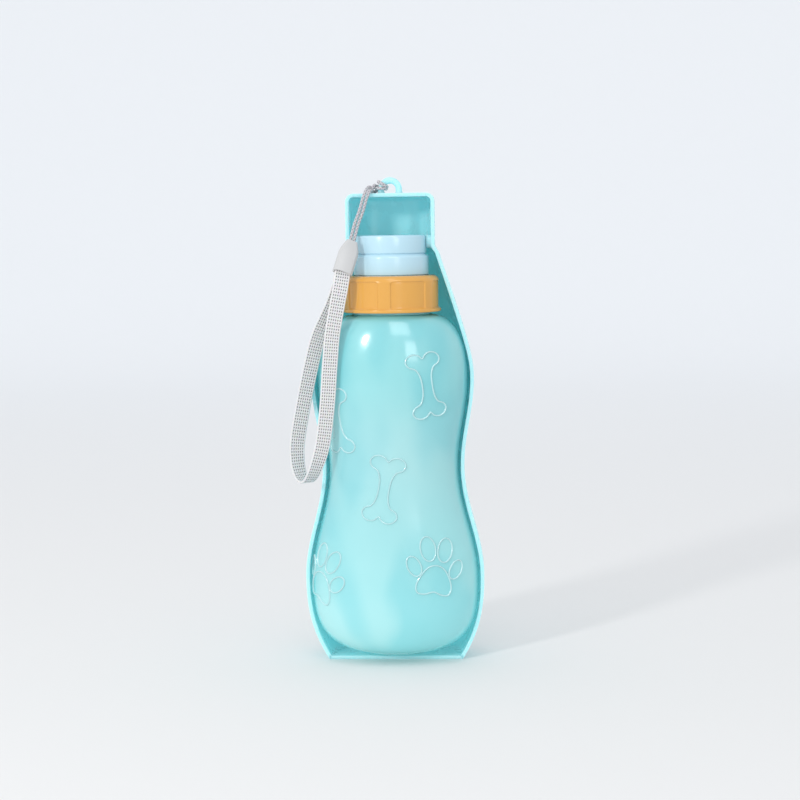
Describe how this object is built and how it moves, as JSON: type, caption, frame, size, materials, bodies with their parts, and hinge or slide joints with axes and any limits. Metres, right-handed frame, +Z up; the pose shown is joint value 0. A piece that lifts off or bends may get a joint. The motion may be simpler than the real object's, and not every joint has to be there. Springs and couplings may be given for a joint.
{
  "type": "dog travel water bottle",
  "caption": "Squeeze bottle nested in a pivoting trough that folds out as a drinking tray, with a screw collar, a two-tier head and a wrist strap.",
  "frame": {"origin": "on the tray's flat standing end, under the bottle's axis", "axes": "+Z up along the bottle's axis, -Y is the open front of the tray, +X to the right seen from the front"},
  "size_m": [0.0883, 0.0528, 0.2214],
  "materials": {
    "bottle": "translucent soft turquoise plastic, smooth and glossy",
    "tray": "semi-gloss turquoise moulded plastic",
    "head": "semi-gloss pale blue moulded plastic",
    "collar": "semi-gloss orange moulded plastic",
    "slip": "smooth slippery plastic film",
    "silicone": "soft clear white silicone",
    "seal": "matte black rubber",
    "cord": "braided grey cord",
    "webbing": "open woven pale grey tape",
    "ferrule": "satin warm grey moulded plastic",
    "metal": "plain stamped steel"
  },
  "bodies": {
    "bottle": {"bottle_body": "bottle", "neck_gasket": "silicone", "head_base": "head", "head_cap": "head", "head_oring": "seal", "outlet_valve": "silicone"},
    "slip_ring": {"collar_slip_ring": "slip"},
    "collar": {"screw_collar": "collar"},
    "tray": {"tray_shell": "tray", "lanyard_knot": "cord"},
    "strap": {"cord_strand_front": "cord", "cord_strand_back": "cord", "strap_crimp": "metal", "strap_ferrule_front": "ferrule", "strap_ferrule_back": "ferrule", "strap_webbing": "webbing"}
  },
  "joints": [
    {"name": "collar_rise", "type": "slide", "parent": "bottle", "child": "slip_ring", "axis": [0, 0, 1], "range_m": [0, 0.0036]},
    {"name": "collar_turn", "type": "hinge", "parent": "slip_ring", "child": "collar", "pos_m": [0, 0, 0.17], "axis": [0, 0, 1], "range_deg": [0, 360]},
    {"name": "tray_fold", "type": "hinge", "parent": "bottle", "child": "tray", "pos_m": [0, 0, 0.1922], "axis": [1, 0, 0], "range_deg": [0, 105]},
    {"name": "strap_hang", "type": "hinge", "parent": "tray", "child": "strap", "pos_m": [0, 0.0005, 0.2159], "axis": [1, 0, 0], "range_deg": [-106, 0]}
  ],
  "couplings": [
    {"joint": "collar_rise", "follows": "collar_turn", "m_per_rad": 0.00055704},
    {"joint": "strap_hang", "follows": "tray_fold", "ratio": -1}
  ]
}
